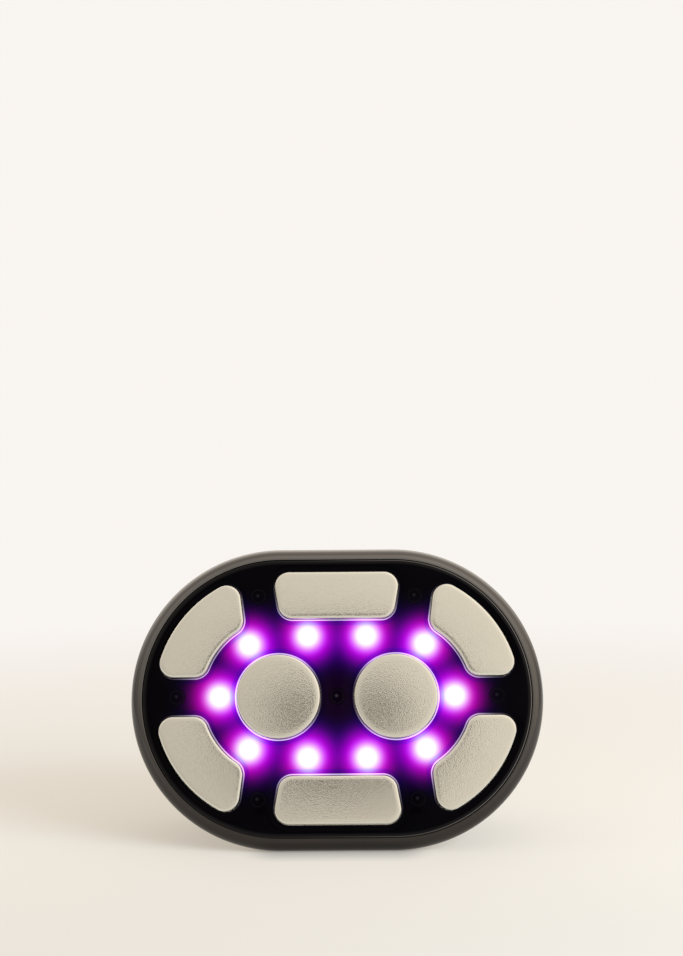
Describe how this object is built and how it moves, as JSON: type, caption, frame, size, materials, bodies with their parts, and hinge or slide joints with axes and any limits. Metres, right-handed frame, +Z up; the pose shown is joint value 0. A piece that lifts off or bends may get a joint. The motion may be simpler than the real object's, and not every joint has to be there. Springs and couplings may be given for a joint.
{
  "type": "rf body device",
  "caption": "Palm-held body device with a stadium face of metal electrodes and lights behind a smoked window, and push buttons on its domed back.",
  "frame": {"origin": "centre of the flat lower side that the body stands on", "axes": "+X to the right in front view, +Y to the back, +Z up; the face looks along -Y and leans back"},
  "size_m": [0.12, 0.0619, 0.0848],
  "materials": {
    "gloss_black": "polished black",
    "satin_black": "fine satin texture",
    "silicone": "matt",
    "soft_touch": "soft-touch, fine stipple",
    "smoked_window": "polished, deep violet-black",
    "electrode_metal": "bead-blasted, champagne anodised",
    "white_plastic": "moulded white",
    "steel": "plated",
    "lit_lens": "clear dome, lit violet-white",
    "dark_lens": "dark clear dome",
    "white_board": "white solder mask",
    "chip_black": "moulded epoxy",
    "gold": "gold-plated",
    "grey_plastic": "moulded grey",
    "board": "green solder mask",
    "can_sleeve": "sleeved",
    "ferrite": "sintered, matt",
    "copper": "enamelled wire",
    "ribbon": "flat flexible strip",
    "cell_wrap": "shrink sleeve",
    "wire_red": "insulated",
    "wire_black": "insulated",
    "button_metal": "satin, champagne anodised",
    "level_lens": "clear, lit white"
  },
  "bodies": {
    "case": {"front_housing": "gloss_black", "rear_housing": "satin_black", "case_gasket": "silicone", "palm_cover": "soft_touch", "control_panel": "gloss_black", "face_window": "smoked_window", "window_gasket": "silicone", "electrode_left_disc": "electrode_metal", "electrode_right_disc": "electrode_metal", "electrode_top_bar": "electrode_metal", "electrode_bottom_bar": "electrode_metal", "electrode_upper_left": "electrode_metal", "electrode_upper_right": "electrode_metal", "electrode_lower_left": "electrode_metal", "electrode_lower_right": "electrode_metal", "electrode_seals": "silicone", "electrode_carrier": "white_plastic", "electrode_screws": "steel", "lit_lights": "lit_lens", "infrared_lights": "dark_lens", "led_board": "white_board", "led_board_parts": "chip_black", "contact_pins": "gold", "temperature_sensors": "chip_black", "mid_frame": "grey_plastic", "mid_frame_screws": "steel", "main_board": "board", "main_board_chips": "chip_black", "main_board_capacitors": "can_sleeve", "transformer_core": "ferrite", "transformer_winding": "copper", "buzzer": "chip_black", "led_ribbon": "ribbon", "control_ribbon": "ribbon", "battery_tray": "grey_plastic", "battery_cells": "cell_wrap", "cell_links": "steel", "protection_board": "board", "battery_wires": "wire_red", "battery_foam": "silicone", "vibration_motor": "steel", "motor_boot": "silicone", "charge_board": "board", "charging_socket": "steel", "charge_wires": "wire_black", "control_board": "board", "switches": "chip_black", "level_lights": "level_lens", "board_screws": "steel", "housing_screws": "steel"},
    "power_key": {"power_button": "button_metal", "power_plunger": "white_plastic"},
    "mode_key": {"mode_button": "button_metal", "mode_plunger": "white_plastic"},
    "minus_key": {"minus_button": "button_metal", "minus_plunger": "white_plastic"},
    "plus_key": {"plus_button": "button_metal", "plus_plunger": "white_plastic"},
    "rotor": {"motor_rotor": "steel"}
  },
  "joints": [
    {"name": "power_press", "type": "slide", "parent": "case", "child": "power_key", "axis": [0, -0.9724, 0.2334], "range_m": [0, 0.0005], "stiffness_N_per_m": 3000, "springref_m": -0.0003},
    {"name": "mode_press", "type": "slide", "parent": "case", "child": "mode_key", "axis": [0, -0.9724, 0.2334], "range_m": [0, 0.0005], "stiffness_N_per_m": 3000, "springref_m": -0.0003},
    {"name": "minus_press", "type": "slide", "parent": "case", "child": "minus_key", "axis": [0, -0.9724, 0.2334], "range_m": [0, 0.0005], "stiffness_N_per_m": 3000, "springref_m": -0.0003},
    {"name": "plus_press", "type": "slide", "parent": "case", "child": "plus_key", "axis": [0, -0.9724, 0.2334], "range_m": [0, 0.0005], "stiffness_N_per_m": 3000, "springref_m": -0.0003},
    {"name": "motor_spin", "type": "hinge", "parent": "case", "child": "rotor", "pos_m": [-0.04204, 0.01651, 0.03626], "axis": [0, 0.2334, 0.9724], "continuous": true}
  ]
}
